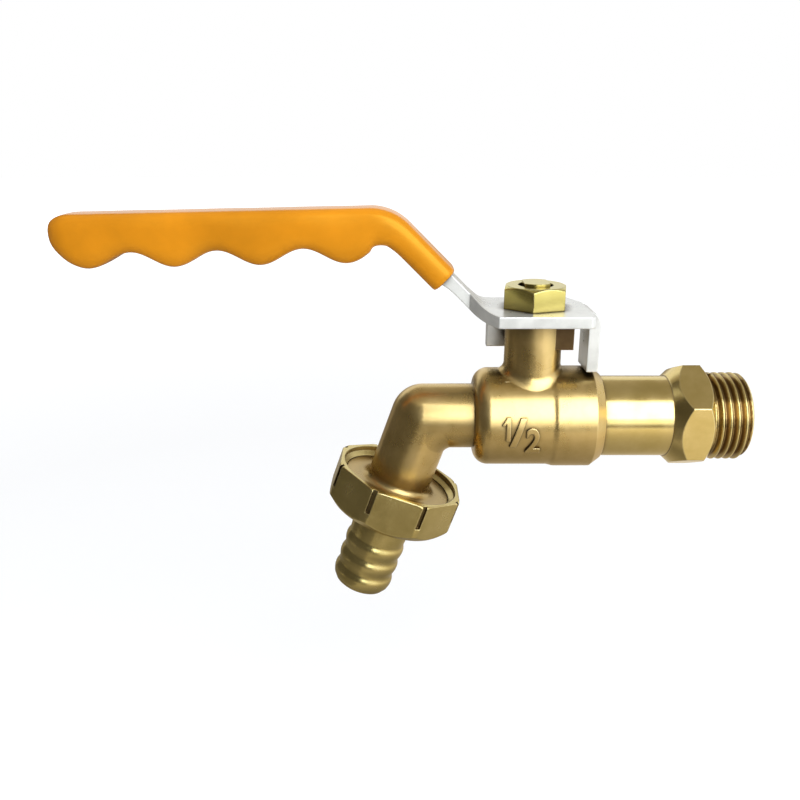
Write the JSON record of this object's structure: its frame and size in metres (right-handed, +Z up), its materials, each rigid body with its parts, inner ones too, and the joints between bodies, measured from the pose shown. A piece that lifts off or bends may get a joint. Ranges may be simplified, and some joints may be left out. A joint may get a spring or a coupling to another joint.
{
  "type": "ball valve bib tap",
  "caption": "Lever ball-valve bib tap: male inlet thread, bent spout and a hose tail held by a union nut.",
  "frame": {"origin": "on the inlet axis, at the face of the hexagon where the inlet thread starts", "axes": "+X along the inlet thread into the wall, +Z up along the stem, spout and lever towards -X"},
  "size_m": [0.1612, 0.0306, 0.0969],
  "materials": {
    "cast_brass": "blasted casting, satin",
    "turned_brass": "turned, polished",
    "bright_brass": "machined, bright",
    "union_brass": "turned, satin",
    "zinc_steel": "zinc plated",
    "grip_vinyl": "dipped soft vinyl",
    "ball_plating": "plated and polished",
    "seat_plastic": "turned",
    "seal_rubber": "moulded"
  },
  "bodies": {
    "valve_body": {"body": "cast_brass", "inlet_tailpiece": "turned_brass", "seat_inlet": "seat_plastic", "seat_outlet": "seat_plastic"},
    "handle": {"stem": "bright_brass", "thrust_washer": "seat_plastic", "stem_o_ring_lower": "seal_rubber", "stem_o_ring_upper": "seal_rubber", "ball": "ball_plating", "lever": "zinc_steel", "grip_sleeve": "grip_vinyl", "handle_nut": "bright_brass"},
    "tail": {"hose_tail": "union_brass", "union_gasket": "seal_rubber"},
    "nut": {"union_nut": "union_brass"}
  },
  "joints": [
    {"name": "lever_turn", "type": "hinge", "parent": "valve_body", "child": "handle", "pos_m": [-0.041, 0, 0], "axis": [0, 0, 1], "range_deg": [-90, 0]},
    {"name": "tail_slide", "type": "slide", "parent": "valve_body", "child": "tail", "axis": [-0.3338, 0, -0.9426], "range_m": [0, 0.00544]},
    {"name": "nut_unscrew", "type": "hinge", "parent": "tail", "child": "nut", "pos_m": [-0.0667, 0, 0], "axis": [-0.3338, 0, -0.9426], "range_deg": [0, 1080]}
  ],
  "couplings": [
    {"joint": "tail_slide", "follows": "nut_unscrew", "m_per_rad": 0.00028871}
  ]
}
